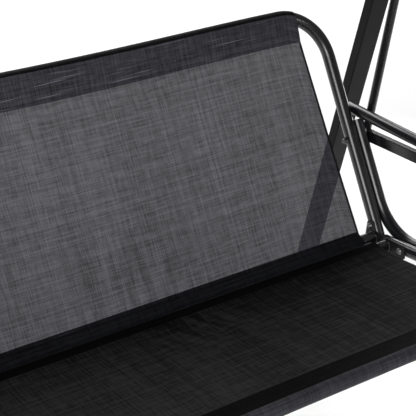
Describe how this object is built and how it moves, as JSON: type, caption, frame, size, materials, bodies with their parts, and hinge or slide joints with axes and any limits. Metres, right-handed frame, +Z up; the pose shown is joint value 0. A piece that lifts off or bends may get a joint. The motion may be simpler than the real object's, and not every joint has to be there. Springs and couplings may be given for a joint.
{
  "type": "canopy swing bench",
  "caption": "Free-standing garden swing bench: sling seat and back hung from an A-frame stand, under a tilting fabric canopy.",
  "frame": {"origin": "on the ground, at the middle of the footprint", "axes": "+X to the bench's right-hand end as seen from the front, the bench faces -Y, +Z up"},
  "size_m": [1.7112, 1.1026, 1.5813],
  "materials": {
    "stand_paint": "satin",
    "frame_paint": "gloss",
    "hanger_paint": "gloss",
    "bracket_paint": "satin",
    "canopy_paint": "satin",
    "bolt_steel": "satin",
    "bush_plastic": "matte",
    "plug_plastic": "matte",
    "foot_plastic": "matte",
    "knob_plastic": "satin",
    "back_cloth": "matte",
    "seat_cloth": "matte",
    "canopy_cloth": "matte"
  },
  "bodies": {
    "stand": {"rear_leg_right": "stand_paint", "rear_leg_left": "stand_paint", "front_leg_right": "stand_paint", "front_leg_left": "stand_paint", "side_brace_right": "stand_paint", "side_brace_left": "stand_paint", "rear_crossbar": "stand_paint", "apex_bracket_right": "bracket_paint", "apex_bracket_left": "bracket_paint", "top_beam": "stand_paint", "beam_plug_right": "plug_plastic", "beam_plug_left": "plug_plastic", "hanger_clevis_right": "bracket_paint", "hanger_clevis_left": "bracket_paint", "pivot_pin_right": "bolt_steel", "pivot_pin_left": "bolt_steel", "foot_caps": "foot_plastic", "apex_bolts": "bolt_steel", "brace_bolts": "bolt_steel"},
    "swing": {"back_frame": "frame_paint", "back_lower_tube": "frame_paint", "back_sling": "back_cloth", "seat_frame": "frame_paint", "seat_rear_tube": "frame_paint", "seat_sling": "seat_cloth", "corner_plate_right": "bracket_paint", "corner_plate_left": "bracket_paint", "arm_frame_right": "frame_paint", "arm_frame_left": "frame_paint", "armrest_right": "frame_paint", "armrest_left": "frame_paint", "hanger_bar_right": "hanger_paint", "hanger_bar_left": "hanger_paint", "hanger_rear_tube_right": "hanger_paint", "hanger_rear_tube_left": "hanger_paint", "hanger_front_tube_right": "hanger_paint", "hanger_front_tube_left": "hanger_paint", "hanger_head_right": "bracket_paint", "hanger_head_left": "bracket_paint", "pivot_bush_right": "bush_plastic", "pivot_bush_left": "bush_plastic", "armrest_plugs": "plug_plastic", "frame_plugs": "plug_plastic", "frame_bolts": "bolt_steel", "plate_bolts": "bolt_steel"},
    "canopy": {"canopy_fabric": "canopy_cloth", "canopy_front_rail": "canopy_paint", "canopy_rear_rail": "canopy_paint", "canopy_centre_rib": "canopy_paint", "canopy_side_rail_right": "canopy_paint", "canopy_side_rail_left": "canopy_paint", "canopy_pivot_plate_right": "bracket_paint", "canopy_pivot_plate_left": "bracket_paint", "canopy_bolts": "bolt_steel"},
    "knob_right": {"tilt_knob_right": "knob_plastic"},
    "knob_left": {"tilt_knob_left": "knob_plastic"}
  },
  "joints": [
    {"name": "swing_pivot", "type": "hinge", "parent": "stand", "child": "swing", "pos_m": [0, 0, 1.455], "axis": [1, 0, 0], "range_deg": [-20, 20]},
    {"name": "canopy_tilt", "type": "hinge", "parent": "stand", "child": "canopy", "pos_m": [0, 0, 1.497], "axis": [1, 0, 0], "range_deg": [-20, 20]},
    {"name": "knob_right_turn", "type": "hinge", "parent": "stand", "child": "knob_right", "pos_m": [0.846, 0, 1.497], "axis": [1, 0, 0], "continuous": true},
    {"name": "knob_left_turn", "type": "hinge", "parent": "stand", "child": "knob_left", "pos_m": [-0.846, 0, 1.497], "axis": [1, 0, 0], "continuous": true}
  ]
}
